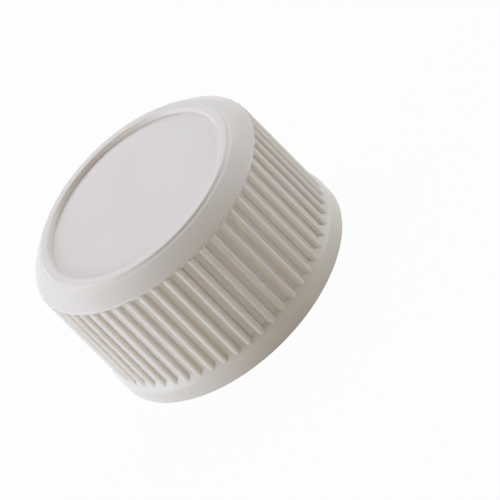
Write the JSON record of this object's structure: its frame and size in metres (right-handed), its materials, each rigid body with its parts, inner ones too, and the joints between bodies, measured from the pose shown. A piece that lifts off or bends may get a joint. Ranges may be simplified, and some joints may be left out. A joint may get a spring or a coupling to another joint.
{
  "type": "ribbed screw cap",
  "caption": "Ribbed one-piece plastic screw cap with a recessed closed top, a coarse inner thread and ratchet teeth round the open rim.",
  "frame": {"origin": "middle of the open rim, on the surface that the cap stands on", "axes": "+Z along the cap's own axis, from the open rim to the closed top"},
  "size_m": [0.0312, 0.0312, 0.0172],
  "materials": {
    "cap_plastic": "satin"
  },
  "bodies": {
    "root": {"screw_cap": "cap_plastic"}
  },
  "joints": []
}
